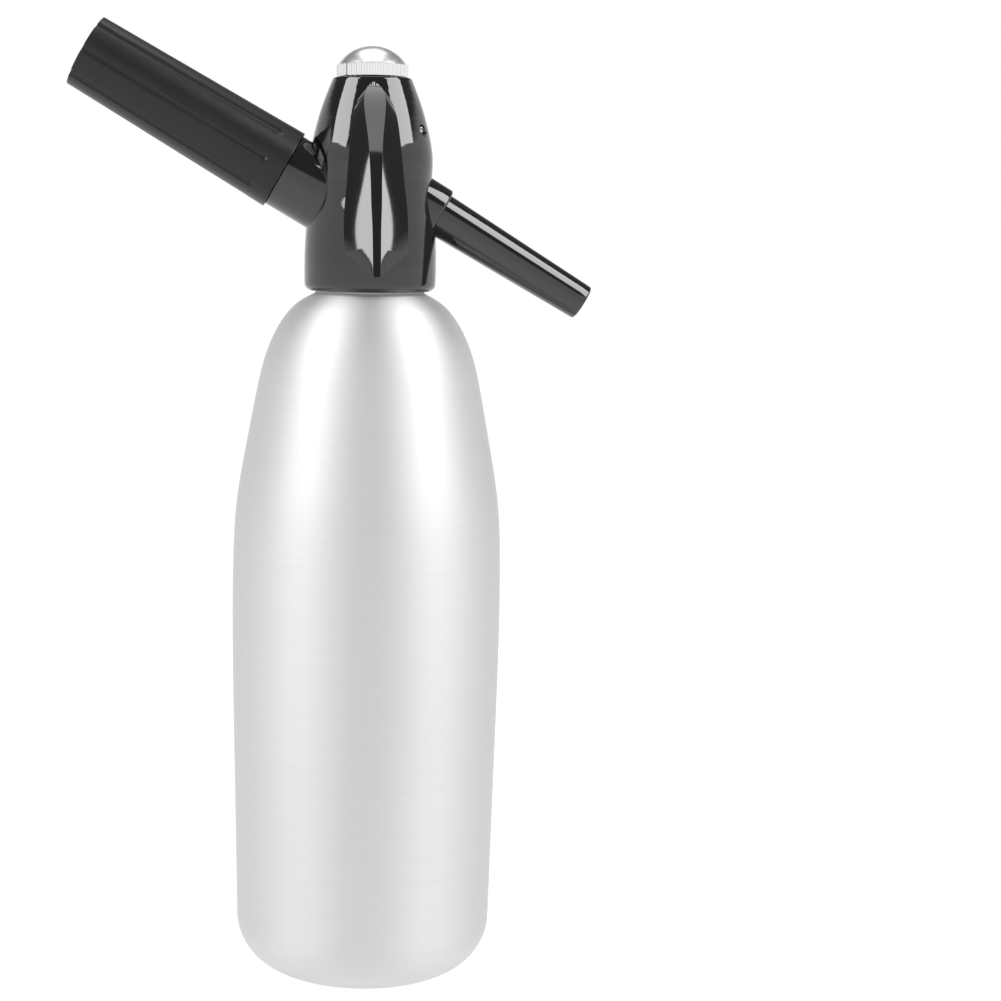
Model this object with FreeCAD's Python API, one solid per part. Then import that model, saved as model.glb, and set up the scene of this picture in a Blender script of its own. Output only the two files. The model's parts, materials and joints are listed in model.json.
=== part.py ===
import FreeCAD, Part
import math
import os

# A soda siphon: an aluminium bottle with a screwed head that holds a squeeze
# lever, a spout and a charger holder. Lengths are in millimetres. The origin is
# the centre of the bottle's base, +Z is up, the spout points to +X and the lever
# to -Y.

# Bottle
BASE_CORNER = 18.0
BASE_RADIUS = 44.7
BELLY_RADIUS = 46.6
BELLY_HEIGHT = 142.0
BELLY_SWELL = 0.35
SHOULDER_POINTS = [
    # radius, share of the way up from the belly to the shoulder's top
    (45.2, 0.2626), (42.4, 0.4412), (39.2, 0.6197), (35.2, 0.7931), (29.3, 0.9160), (24.6, 0.9685),
]
SHOULDER_TOP_RADIUS = 19.4
SHOULDER_TOP = 237.2
BOTTLE_WALL = 1.2
BASE_THICKNESS = 2.6
BEAD_RADIUS = 18.7
BEAD_HEIGHT = 3.8
NECK_RADIUS = 17.6
NECK_BORE = 14.6
NECK_HEIGHT = 22.3
THREAD_CLEARANCE = 0.3

# Head casing, its half widths along X and Y at even steps from bottom to top
HEAD_GAP = 1.0
HEAD_HEIGHT = 71.8
HEAD_HALF_WIDTHS = [
    (22.45, 22.3),
    (22.6, 22.35),
    (22.3, 22.05),
    (21.55, 20.9),
    (20.7, 19.2),
    (20.9, 19.65),
    (19.4, 17.8),
    (16.8, 15.2),
    (13.3, 12.3),
]
HEAD_RIM_ROUND = 2.6
HEAD_WALL = 2.2
HEAD_ROOF = 2.6
FIT = 0.05

# Seal on the neck and the nut that grips the neck
GASKET_THICKNESS = 2.0
NUT_WALL = 2.0
NUT_RISE = 1.5
GASKET_LIP = 1.0

# Valve core
CORE_RADIUS = 9.5
FLANGE_RADIUS = 18.0
FLANGE_THICKNESS = 3.4
SEAT_RISE = 7.1
SEAT_BORE = 2.6
CHAMBER_RADIUS = 5.2
CHAMBER_HEIGHT = 8.0
GLAND_HEIGHT = 7.5
GLAND_RING_WIDTH = 1.6
GLAND_RING_HEIGHT = 2.0
CHEEK_GAP = 1.6
CHEEK_HALF_WIDTH = 9.0
CHEEK_FRONT = 12.6
LEVER_SLOT_HALF = 4.25
SPRING_ROOM = 5.3

# Stem
STEM_RADIUS = 2.0
RUNNING = 0.05
STEM_DROP = 1.2
STEM_SEAL_RADIUS = 4.2
STEM_SEAL_THICKNESS = 2.0
COLLAR_RADIUS = 3.6
COLLAR_RISE = 1.4
COLLAR_THICKNESS = 1.8
SPRING_WIRE = 0.8
SPRING_RADIUS = 3.6
SPRING_TURNS = 5.0
SPRING_SEAT_THICKNESS = 3.0
SEAT_DISC_RADIUS = 6.5

# Lever and its pin, the lever's heights measured from the pin
PIN_Y = -8.3
PIN_RISE = 54.1
PIN_RADIUS = 1.35
PIN_SHOWN_END = 16.6
PIN_HIDDEN_END = -12.0
PIN_RECESS_RADIUS = 2.0
PIN_RECESS_DEPTH = 0.9
PIN_SOCKET_HALF = 0.45
PIN_SOCKET_DEPTH = 0.5
LEVER_STATIONS = [
    # front y, front z, back y, back z, half width, half width of the front strip
    (-15.4, 15.4, -14.7, 14.6, 1.0, 0.5),
    (-20.8, 12.4, -17.4, 8.6, 4.8, 2.9),
    (-26.5, 7.9, -22.0, 3.4, 6.9, 3.6),
    (-32.5, 1.1, -27.4, -2.4, 7.9, 3.0),
    (-38.4, -5.6, -32.8, -9.4, 8.5, 2.3),
    (-43.5, -12.0, -36.9, -15.9, 9.0, 2.0),
    (-48.1, -18.5, -40.4, -23.3, 9.6, 1.8),
    (-52.3, -25.5, -43.2, -30.1, 10.2, 1.7),
    (-56.2, -32.5, -46.0, -37.3, 10.3, 1.4),
    (-59.7, -40.1, -48.4, -44.5, 10.0, 1.3),
    (-62.6, -47.9, -50.6, -51.8, 9.5, 1.2),
    (-65.0, -55.7, -52.6, -59.2, 8.8, 1.2),
]
LEVER_BACK_LIP = 0.72
LEVER_BACK_TAPER = 0.86
LEVER_TIP_Y = -62.7
LEVER_TIP_RISE = -48.3
LEVER_HEEL_Y = -47.5
LEVER_HEEL_RISE = -43.2
LEVER_POINT_SLOPE = 0.44
TRIM_DEPTH = 20.0
TRIM_REACH = 10.0
TRIM_HALF_WIDTH = 15.0
ARM_HALF_WIDTH = 3.7
ARM_OVER = [(-24.0, 4.7), (-17.0, 6.9)]
ARM_UNDER = [(-18.2, -3.1), (-22.5, -1.8), (-26.0, -2.1), (-29.5, -4.7), (-31.0, -3.8)]
HUB_RADIUS = 4.4
FINGER_THICKNESS = 2.8
FINGER_GAP = 0.3
FINGER_REACH = 1.0
SLOT_BELOW_PIN = 7.8
SLOT_ABOVE_PIN = 10.7

# Cap
CAP_GAP = 0.3
CAP_HEIGHT = 4.0
CAP_RADIUS = 12.2
KNURL_COUNT = 40
KNURL_DEPTH = 0.35
KNURL_WIDTH = 0.9
CAP_NECK_RADIUS = 8.6
CAP_NECK_DEPTH = 2.6
CAP_BORE = 5.6
CAP_ROOF = 1.3
DOME_RADIUS = 11.7
DOME_HEIGHT = 6.3
SEAL_GROOVE_INNER = 9.6
SEAL_GROOVE_OUTER = 11.4
SEAL_GROOVE_DEPTH = 1.0

# Spout, measured along its axis from the bottle's axis
SPOUT_ANGLE = 30.8
SPOUT_RISE = 40.4
SPOUT_PASSAGE = 3.0
SPOUT_SEAL_START = 8.0
SPOUT_SEAL_LENGTH = 1.2
SPIGOT_RADIUS = 4.4
SPOUT_ROOT = 17.0
SPOUT_END = 85.3
SPOUT_ROOT_RADIUS = 7.7
SPOUT_END_RADIUS = 6.15
SPOUT_BORE = 3.3
SPOUT_LIP_ROUND = 0.7
SPOUT_COLLAR_START = 17.5
SPOUT_COLLAR_END = 27.6
SPOUT_COLLAR_RADIUS = 9.1
SPOUT_COLLAR_ROUND = 1.0
SPIGOT_OVERLAP = 5.0

# Charger holder, measured along its axis from the bottle's axis
HOLDER_ANGLE = 30.1
HOLDER_RISE = 23.5
BOSS_RADIUS = 13.0
BOSS_START = 12.0
BOSS_END = 34.0
STUB_START = 20.5
STUB_BODY_RADIUS = 10.5
STUB_THREAD_RADIUS = 10.3
STUB_END = 45.0
VALVE_ROOM_RADIUS = 2.6
VALVE_ROOM_END = 24.5
GAS_HOLE = 0.8
NEEDLE_DISC_START = 27.0
NEEDLE_DISC_RADIUS = 5.1
NEEDLE_DISC_THICKNESS = 1.6
NEEDLE_RADIUS = 0.8
NEEDLE_TIP = 36.0
FILTER_THICKNESS = 0.8
FILTER_HOLE = 1.2
SEAL_HOLE = 2.3
SEAL_THICKNESS = 2.6
CHARGER_RADIUS = 9.3
CHARGER_LENGTH = 65.5
CHARGER_NECK_RADIUS = 4.25
CHARGER_NECK_LENGTH = 8.0
CHARGER_SHOULDER = 9.0
CHARGER_HOLE = 1.4
CHARGER_HOLE_DEPTH = 7.0
CHARGER_CLEARANCE = 0.3
NECK_ROOM = 0.35
BALL_RADIUS = 1.5
CHECK_WIRE = 0.4
SLEEVE_WALL = 1.2
SLEEVE_START = 34.6
SLEEVE_THREAD_LENGTH = 12.5
GRIP_START = 34.3
GRIP_LENGTH = 77.4
GRIP_OPEN_RADIUS = 14.05
GRIP_CLOSED_RADIUS = 12.75
GRIP_END_CHAMFER = 1.2
FLUTE_COUNT = 8
FLUTE_RADIUS = 1.7
FLUTE_DEPTH = 0.7
FLUTE_STOP = 6.5

# Dip tube
DIP_RADIUS = 4.0
DIP_BORE = 2.75
DIP_BOTTOM = 6.0
DIP_SOCKET_DEPTH = 4.0
DIP_SEAL_WIDTH = 1.6
DIP_SEAL_HEIGHT = 1.6

UP = FreeCAD.Vector(0, 0, 1)
PARTS_FOLDER = "parts"

# Values worked out from the sizes above
BEAD_TOP = SHOULDER_TOP + BEAD_HEIGHT
NECK_TOP = SHOULDER_TOP + NECK_HEIGHT
HEAD_BOTTOM = SHOULDER_TOP + HEAD_GAP
HEAD_TOP = HEAD_BOTTOM + HEAD_HEIGHT
NUT_BOTTOM = BEAD_TOP + NUT_RISE
GASKET_BOTTOM = NECK_TOP
FLANGE_BOTTOM = GASKET_BOTTOM + GASKET_THICKNESS
FLANGE_TOP = FLANGE_BOTTOM + FLANGE_THICKNESS
ROOF_UNDER = HEAD_TOP - HEAD_ROOF
SEAT_HEIGHT = FLANGE_TOP + SEAT_RISE
CHAMBER_TOP = SEAT_HEIGHT + CHAMBER_HEIGHT
GLAND_TOP = CHAMBER_TOP + GLAND_HEIGHT
CHEEK_TOP = ROOF_UNDER - CHEEK_GAP
STEM_TOP = CHEEK_TOP - STEM_DROP
SPRING_TOP = CHEEK_TOP - SPRING_SEAT_THICKNESS
PIN_Z = HEAD_BOTTOM + PIN_RISE
COLLAR_BOTTOM = PIN_Z + COLLAR_RISE
COLLAR_TOP = COLLAR_BOTTOM + COLLAR_THICKNESS
SLOT_LOW = PIN_Z - SLOT_BELOW_PIN
SLOT_HIGH = PIN_Z + SLOT_ABOVE_PIN
LEVER_TIP_Z = PIN_Z + LEVER_TIP_RISE
LEVER_HEEL_Z = PIN_Z + LEVER_HEEL_RISE
CAP_BOTTOM = HEAD_TOP + CAP_GAP
CAP_TOP = CAP_BOTTOM + CAP_HEIGHT
CAP_ROOM_TOP = CAP_TOP - CAP_ROOF
SPOUT_AXIS_Z = HEAD_BOTTOM + SPOUT_RISE
HOLDER_AXIS_Z = HEAD_BOTTOM + HOLDER_RISE
FILTER_START = NEEDLE_DISC_START + NEEDLE_DISC_THICKNESS
SEAL_START = FILTER_START + FILTER_THICKNESS
CHARGER_START = SEAL_START + SEAL_THICKNESS
CHARGER_END = CHARGER_START + CHARGER_LENGTH
SLEEVE_BORE = CHARGER_RADIUS + CHARGER_CLEARANCE
SLEEVE_THREAD_BORE = STUB_THREAD_RADIUS + THREAD_CLEARANCE
SLEEVE_END = CHARGER_END + CHARGER_CLEARANCE + SLEEVE_WALL
GRIP_END = GRIP_START + GRIP_LENGTH


def cylinder(radius, low, high):
    return Part.makeCylinder(radius, high - low, FreeCAD.Vector(0, 0, low))


def tube(outer, inner, low, high):
    return cylinder(outer, low, high).cut(cylinder(inner, low, high))


def cone(low_radius, high_radius, low, high):
    return Part.makeCone(low_radius, high_radius, high - low, FreeCAD.Vector(0, 0, low))


def box(x0, x1, y0, y1, z0, z1):
    return Part.makeBox(x1 - x0, y1 - y0, z1 - z0, FreeCAD.Vector(x0, y0, z0))


def revolve(edges):
    """Turn a closed outline in the XZ plane once around the Z axis."""
    face = Part.Face(Part.Wire(edges))
    return face.revolve(FreeCAD.Vector(0, 0, 0), UP, 360)


def line(a, b):
    return Part.makeLine(FreeCAD.Vector(a[0], 0, a[1]), FreeCAD.Vector(b[0], 0, b[1]))


def along_spout(shape):
    """Carry a shape made around +Z onto the spout's axis."""
    turn = FreeCAD.Rotation(FreeCAD.Vector(0, 1, 0), 90.0 + SPOUT_ANGLE)
    moved = shape.copy()
    moved.Placement = FreeCAD.Placement(FreeCAD.Vector(0, 0, SPOUT_AXIS_Z), turn)
    return moved


def along_holder(shape):
    """Carry a shape made around +Z onto the charger holder's axis."""
    turn = FreeCAD.Rotation(FreeCAD.Vector(0, 1, 0), HOLDER_ANGLE - 90.0)
    moved = shape.copy()
    moved.Placement = FreeCAD.Placement(FreeCAD.Vector(0, 0, HOLDER_AXIS_Z), turn)
    return moved


def helix_spring(mean_radius, wire, turns, low, high):
    """A coil of round wire, its ends lying inside low and high."""
    rise = high - low - wire
    path = Part.makeHelix(rise / turns, rise, mean_radius)
    path.translate(FreeCAD.Vector(0, 0, low + wire / 2))
    start = path.Edges[0].valueAt(path.Edges[0].FirstParameter)
    heading = path.Edges[0].tangentAt(path.Edges[0].FirstParameter)
    ring = Part.Wire([Part.makeCircle(wire / 2, start, heading)])
    return Part.Wire(path.Edges).makePipeShell([ring], True, True)


def bottle_side(wall):
    """The bottle's side from the base corner to the shoulder, moved in by a wall."""
    floor = BASE_THICKNESS if wall else 0.0
    radius = BASE_CORNER - wall
    centre = BASE_RADIUS - BASE_CORNER
    start_angle = math.acos((BASE_CORNER - floor) / radius)
    angles = [start_angle, (start_angle + math.pi / 2) / 2, math.pi / 2]
    bend = [(centre + radius * math.sin(a), BASE_CORNER - radius * math.cos(a)) for a in angles]
    corner = Part.Arc(*[FreeCAD.Vector(r, 0, z) for r, z in bend]).toShape()
    middle = (BASE_RADIUS + BELLY_RADIUS) / 2 + BELLY_SWELL
    points = [bend[2], (middle - wall, (BASE_CORNER + BELLY_HEIGHT) / 2)]
    points.append((BELLY_RADIUS - wall, BELLY_HEIGHT))
    climb = SHOULDER_TOP - BELLY_HEIGHT
    points += [(r - wall, BELLY_HEIGHT + climb * share - wall * 0.4) for r, share in SHOULDER_POINTS]
    points.append((SHOULDER_TOP_RADIUS - wall, SHOULDER_TOP - wall))
    curve = Part.BSplineCurve()
    curve.interpolate([FreeCAD.Vector(r, 0, z) for r, z in points])
    return corner, curve.toShape(), bend[0], points[-1]


def make_bottle_shell():
    corner, side, start, shoulder = bottle_side(0.0)
    outline = [line((0, 0), start), corner, side]
    outline.append(line(shoulder, (BEAD_RADIUS, SHOULDER_TOP)))
    outline.append(line((BEAD_RADIUS, SHOULDER_TOP), (BEAD_RADIUS, BEAD_TOP)))
    outline.append(line((BEAD_RADIUS, BEAD_TOP), (NECK_RADIUS, BEAD_TOP)))
    outline.append(line((NECK_RADIUS, BEAD_TOP), (NECK_RADIUS, NECK_TOP)))
    outline.append(line((NECK_RADIUS, NECK_TOP), (0, NECK_TOP)))
    outline.append(line((0, NECK_TOP), (0, 0)))
    outer = revolve(outline)
    corner, side, start, shoulder = bottle_side(BOTTLE_WALL)
    hollow = [line((0, BASE_THICKNESS), start), corner, side]
    hollow.append(line(shoulder, (NECK_BORE, shoulder[1])))
    hollow.append(line((NECK_BORE, shoulder[1]), (NECK_BORE, NECK_TOP)))
    hollow.append(line((NECK_BORE, NECK_TOP), (0, NECK_TOP)))
    hollow.append(line((0, NECK_TOP), (0, BASE_THICKNESS)))
    return outer.cut(revolve(hollow))


def head_form(inset, low, high):
    """The head casing's form, moved in by inset and cut between two heights."""
    rings = []
    step = (HEAD_TOP - HEAD_BOTTOM) / (len(HEAD_HALF_WIDTHS) - 1)
    for index, (half_x, half_y) in enumerate(HEAD_HALF_WIDTHS):
        centre = FreeCAD.Vector(0, 0, HEAD_BOTTOM + index * step)
        ellipse = Part.Ellipse(centre, half_x - inset, half_y - inset)
        rings.append(Part.Wire([ellipse.toShape()]))
    form = Part.makeLoft(rings, True, False)
    reach = HEAD_HALF_WIDTHS[0][0] * 2
    return form.common(box(-reach, reach, -reach, reach, low, high))


def make_head_shell():
    outer = head_form(0.0, HEAD_BOTTOM, HEAD_TOP)
    rim = [e for e in outer.Edges if abs(e.CenterOfMass.z - HEAD_BOTTOM) < 0.01]
    outer = outer.makeFillet(HEAD_RIM_ROUND, rim)
    outer = outer.fuse(along_holder(cylinder(BOSS_RADIUS, BOSS_START, BOSS_END)))
    hollow = head_form(HEAD_WALL, HEAD_BOTTOM, ROOF_UNDER)
    shell = outer.cut(hollow)
    shell = shell.cut(along_holder(cylinder(STUB_BODY_RADIUS + FIT, 0, BOSS_END)))
    shell = shell.cut(along_spout(cylinder(SPIGOT_RADIUS + FIT, SPOUT_SEAL_START, SPOUT_END)))
    slot = box(-LEVER_SLOT_HALF, LEVER_SLOT_HALF, -HEAD_HALF_WIDTHS[0][0], 0, SLOT_LOW, SLOT_HIGH)
    shell = shell.cut(slot)
    neck_hole = cylinder(CAP_NECK_RADIUS + THREAD_CLEARANCE, ROOF_UNDER - 1, HEAD_TOP + 1)
    shell = shell.cut(neck_hole)
    groove = tube(SEAL_GROOVE_OUTER, SEAL_GROOVE_INNER, HEAD_TOP - SEAL_GROOVE_DEPTH, HEAD_TOP + 1)
    shell = shell.cut(groove)
    return shell.cut(pin_space(FIT)).cut(pin_recess())


def make_neck_nut():
    inner = NECK_RADIUS + THREAD_CLEARANCE
    ring = cylinder(inner + NUT_WALL, NUT_BOTTOM, NECK_TOP)
    ring = ring.common(head_form(HEAD_WALL + FIT, HEAD_BOTTOM, HEAD_TOP))
    return ring.cut(cylinder(inner, NUT_BOTTOM, NECK_TOP))


def make_neck_gasket():
    return tube(NECK_RADIUS, NECK_BORE - GASKET_LIP, GASKET_BOTTOM, FLANGE_BOTTOM)


def along_x(radius, start, end):
    """A rod along X on the lever's hinge axis."""
    centre = FreeCAD.Vector(start, PIN_Y, PIN_Z)
    return Part.makeCylinder(radius, end - start, centre, FreeCAD.Vector(1, 0, 0))


def pin_space(clearance):
    return along_x(PIN_RADIUS + clearance, PIN_HIDDEN_END - clearance, PIN_SHOWN_END + clearance)


def pin_recess():
    return along_x(PIN_RECESS_RADIUS, PIN_SHOWN_END - PIN_RECESS_DEPTH, HEAD_HALF_WIDTHS[0][0])


def make_lever_pin():
    pin = along_x(PIN_RADIUS, PIN_HIDDEN_END, PIN_SHOWN_END)
    half = PIN_SOCKET_HALF
    socket = box(PIN_SHOWN_END - PIN_SOCKET_DEPTH, PIN_SHOWN_END + 1, -half, half, -half, half)
    socket.rotate(FreeCAD.Vector(0, 0, 0), FreeCAD.Vector(1, 0, 0), 45)
    socket.translate(FreeCAD.Vector(0, PIN_Y, PIN_Z))
    return pin.cut(socket)


def make_valve_body():
    body = cylinder(FLANGE_RADIUS, FLANGE_BOTTOM, FLANGE_TOP)
    body = body.fuse(cylinder(CORE_RADIUS, FLANGE_BOTTOM, GLAND_TOP))
    cheeks = box(
        -CHEEK_HALF_WIDTH, CHEEK_HALF_WIDTH, -CHEEK_FRONT, CORE_RADIUS,
        GLAND_TOP - 2 * GLAND_RING_HEIGHT, CHEEK_TOP,
    )
    body = body.fuse(cheeks)
    body = body.common(head_form(HEAD_WALL + FIT, HEAD_BOTTOM, HEAD_TOP))
    slot_end = SPRING_TOP
    slot = box(-LEVER_SLOT_HALF, LEVER_SLOT_HALF, -CHEEK_FRONT - 1, 0, GLAND_TOP - 1.5, slot_end)
    body = body.cut(slot)
    body = body.cut(cylinder(SPRING_ROOM, GLAND_TOP, SPRING_TOP))
    body = body.cut(cylinder(SEAT_DISC_RADIUS + FIT, SPRING_TOP, CHEEK_TOP))
    body = body.cut(cylinder(SEAT_BORE, FLANGE_BOTTOM, SEAT_HEIGHT))
    body = body.cut(cylinder(DIP_RADIUS + FIT, FLANGE_BOTTOM, FLANGE_BOTTOM + DIP_SOCKET_DEPTH))
    seal_top = FLANGE_BOTTOM + DIP_SEAL_HEIGHT
    body = body.cut(cylinder(DIP_RADIUS + DIP_SEAL_WIDTH, FLANGE_BOTTOM, seal_top))
    body = body.cut(cylinder(CHAMBER_RADIUS, SEAT_HEIGHT, CHAMBER_TOP))
    body = body.cut(cylinder(STEM_RADIUS + RUNNING, CHAMBER_TOP, GLAND_TOP))
    ring_low = CHAMBER_TOP + GLAND_RING_HEIGHT
    ring_room = cylinder(STEM_RADIUS + GLAND_RING_WIDTH, ring_low, ring_low + GLAND_RING_HEIGHT)
    body = body.cut(ring_room)
    body = body.cut(along_spout(cylinder(SPOUT_PASSAGE, 0, SPOUT_SEAL_START + 1)))
    body = body.cut(along_spout(cylinder(SPIGOT_RADIUS + FIT, SPOUT_SEAL_START, SPOUT_END)))
    body = body.cut(along_holder(cylinder(STUB_BODY_RADIUS + FIT, STUB_START, BOSS_END)))
    gas_way = along_holder(cylinder(GAS_HOLE, CORE_RADIUS + 2, STUB_START))
    gas_drop = cylinder(GAS_HOLE, FLANGE_BOTTOM, FLANGE_TOP + 2)
    gas_drop.translate(FreeCAD.Vector(-CORE_RADIUS - 1, 0, 0))
    body = body.cut(gas_way).cut(gas_drop)
    return body.cut(pin_space(FIT))


def make_gland_ring():
    low = CHAMBER_TOP + GLAND_RING_HEIGHT
    outer = STEM_RADIUS + GLAND_RING_WIDTH
    return tube(outer, STEM_RADIUS + RUNNING, low, low + GLAND_RING_HEIGHT)


def make_valve_stem():
    stem = cylinder(STEM_RADIUS, SEAT_HEIGHT + STEM_SEAL_THICKNESS, STEM_TOP)
    tip = cylinder(STEM_RADIUS / 2, SEAT_HEIGHT, SEAT_HEIGHT + STEM_SEAL_THICKNESS)
    return stem.fuse(tip).fuse(cylinder(COLLAR_RADIUS, COLLAR_BOTTOM, COLLAR_TOP)).removeSplitter()


def make_stem_seal():
    return tube(STEM_SEAL_RADIUS, STEM_RADIUS / 2, SEAT_HEIGHT, SEAT_HEIGHT + STEM_SEAL_THICKNESS)


def make_spring_seat():
    return tube(SEAT_DISC_RADIUS, STEM_RADIUS + THREAD_CLEARANCE, SPRING_TOP, CHEEK_TOP)


def lever_ring(station):
    front_y, front_z, back_y, back_z, half, strip = station
    lip_y = front_y + (back_y - front_y) * LEVER_BACK_LIP
    lip_z = front_z + (back_z - front_z) * LEVER_BACK_LIP
    corners = [
        (-strip, front_y, front_z),
        (strip, front_y, front_z),
        (half, lip_y, lip_z),
        (half * LEVER_BACK_TAPER, back_y, back_z),
        (-half * LEVER_BACK_TAPER, back_y, back_z),
        (-half, lip_y, lip_z),
    ]
    points = [FreeCAD.Vector(x, y, PIN_Z + z) for x, y, z in corners]
    return Part.makePolygon(points + [points[0]])


def flat_outline(points, half_width):
    """A plate of the given outline in the YZ plane, as thick as two half widths."""
    corners = [FreeCAD.Vector(-half_width, y, z) for y, z in points]
    face = Part.Face(Part.makePolygon(corners + [corners[0]]))
    return face.extrude(FreeCAD.Vector(2 * half_width, 0, 0))


def below_point():
    """The space under the blade's pointed end, which climbs towards the heel and both sides."""
    climb = (LEVER_HEEL_Z - LEVER_TIP_Z) / (LEVER_HEEL_Y - LEVER_TIP_Y)
    length = LEVER_HEEL_Y - LEVER_TIP_Y + 2 * TRIM_REACH
    side = LEVER_POINT_SLOPE * TRIM_HALF_WIDTH
    corners = [
        (0, 0),
        (TRIM_HALF_WIDTH, side),
        (TRIM_HALF_WIDTH, -TRIM_DEPTH),
        (-TRIM_HALF_WIDTH, -TRIM_DEPTH),
        (-TRIM_HALF_WIDTH, side),
    ]
    start = LEVER_TIP_Y - TRIM_REACH
    tip = LEVER_TIP_Z - climb * TRIM_REACH
    points = [FreeCAD.Vector(x, start, tip + z) for x, z in corners]
    face = Part.Face(Part.makePolygon(points + [points[0]]))
    return face.extrude(FreeCAD.Vector(0, length, climb * length))


def make_lever():
    blade = Part.makeLoft([lever_ring(s) for s in LEVER_STATIONS], True, False)
    blade = blade.cut(below_point())
    arm = [(y, PIN_Z + rise) for y, rise in ARM_OVER]
    arm += [(PIN_Y, PIN_Z + HUB_RADIUS), (PIN_Y, PIN_Z - HUB_RADIUS)]
    arm += [(y, PIN_Z + rise) for y, rise in ARM_UNDER]
    lever = blade.fuse(flat_outline(arm, ARM_HALF_WIDTH))
    lever = lever.fuse(along_x(HUB_RADIUS, -ARM_HALF_WIDTH, ARM_HALF_WIDTH))
    finger_top = COLLAR_BOTTOM - FINGER_GAP
    finger = box(
        -ARM_HALF_WIDTH, ARM_HALF_WIDTH, PIN_Y, FINGER_REACH,
        finger_top - FINGER_THICKNESS, finger_top,
    )
    lever = lever.fuse(finger)
    notch = STEM_RADIUS + THREAD_CLEARANCE
    lever = lever.cut(box(-notch, notch, -notch, FINGER_REACH + 1, PIN_Z - HUB_RADIUS, PIN_Z + HUB_RADIUS))
    return lever.cut(along_x(PIN_RADIUS + RUNNING, -ARM_HALF_WIDTH - 1, ARM_HALF_WIDTH + 1)).removeSplitter()


def make_knurled_cap():
    cap = cylinder(CAP_RADIUS, CAP_BOTTOM, CAP_TOP)
    step = 360.0 / KNURL_COUNT
    for index in range(KNURL_COUNT):
        groove = box(
            CAP_RADIUS - KNURL_DEPTH, CAP_RADIUS + 1, -KNURL_WIDTH / 2, KNURL_WIDTH / 2,
            CAP_BOTTOM - 1, CAP_TOP + 1,
        )
        groove.rotate(FreeCAD.Vector(0, 0, 0), UP, index * step)
        cap = cap.cut(groove)
    cap = cap.fuse(cylinder(CAP_NECK_RADIUS, HEAD_TOP - CAP_NECK_DEPTH, CAP_BOTTOM))
    return cap.cut(cylinder(CAP_BORE, HEAD_TOP - CAP_NECK_DEPTH, CAP_ROOM_TOP)).removeSplitter()


def make_cap_dome():
    ball_radius = (DOME_RADIUS ** 2 + DOME_HEIGHT ** 2) / (2 * DOME_HEIGHT)
    ball = Part.makeSphere(ball_radius, FreeCAD.Vector(0, 0, CAP_TOP + DOME_HEIGHT - ball_radius))
    reach = ball_radius + 1
    return ball.common(box(-reach, reach, -reach, reach, CAP_TOP, CAP_TOP + DOME_HEIGHT + 1))


def make_cap_seal():
    return tube(
        SEAL_GROOVE_OUTER - FIT, SEAL_GROOVE_INNER + FIT, HEAD_TOP - SEAL_GROOVE_DEPTH, CAP_BOTTOM
    )


def spout_radius(distance):
    share = (distance - SPOUT_ROOT) / (SPOUT_END - SPOUT_ROOT)
    return SPOUT_ROOT_RADIUS + (SPOUT_END_RADIUS - SPOUT_ROOT_RADIUS) * share


def make_spout_tube():
    body = cone(SPOUT_ROOT_RADIUS, SPOUT_END_RADIUS, SPOUT_ROOT, SPOUT_END)
    lip = [e for e in body.Edges if abs(e.BoundBox.ZMin - SPOUT_END) < 0.01 and e.Length > 1]
    body = body.makeFillet(SPOUT_LIP_ROUND, lip)
    spigot_start = SPOUT_SEAL_START + SPOUT_SEAL_LENGTH
    spout = along_spout(body).cut(head_form(-FIT, HEAD_BOTTOM, HEAD_TOP))
    spout = spout.fuse(along_spout(cylinder(SPIGOT_RADIUS, spigot_start, SPOUT_COLLAR_END + SPIGOT_OVERLAP)))
    return spout.cut(along_spout(cylinder(SPOUT_BORE, 0, SPOUT_END + 1)))


def make_spout_collar():
    ring = cylinder(SPOUT_COLLAR_RADIUS, SPOUT_COLLAR_START, SPOUT_COLLAR_END)
    rim = [e for e in ring.Edges if abs(e.BoundBox.ZMin - SPOUT_COLLAR_END) < 0.01 and e.Length > 1]
    ring = ring.makeFillet(SPOUT_COLLAR_ROUND, rim)
    bore = cone(
        spout_radius(SPOUT_COLLAR_START) + FIT, spout_radius(SPOUT_COLLAR_END) + FIT,
        SPOUT_COLLAR_START, SPOUT_COLLAR_END,
    )
    return along_spout(ring.cut(bore)).cut(head_form(-FIT, HEAD_BOTTOM, HEAD_TOP))


def make_spout_seal():
    end = SPOUT_SEAL_START + SPOUT_SEAL_LENGTH
    return along_spout(tube(SPIGOT_RADIUS, SPOUT_BORE, SPOUT_SEAL_START, end))


def make_dip_tube():
    return tube(DIP_RADIUS, DIP_BORE, DIP_BOTTOM, FLANGE_BOTTOM + DIP_SOCKET_DEPTH)


def make_dip_tube_seal():
    outer = DIP_RADIUS + DIP_SEAL_WIDTH - FIT
    return tube(outer, DIP_RADIUS + FIT, FLANGE_BOTTOM, FLANGE_BOTTOM + DIP_SEAL_HEIGHT)


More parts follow.
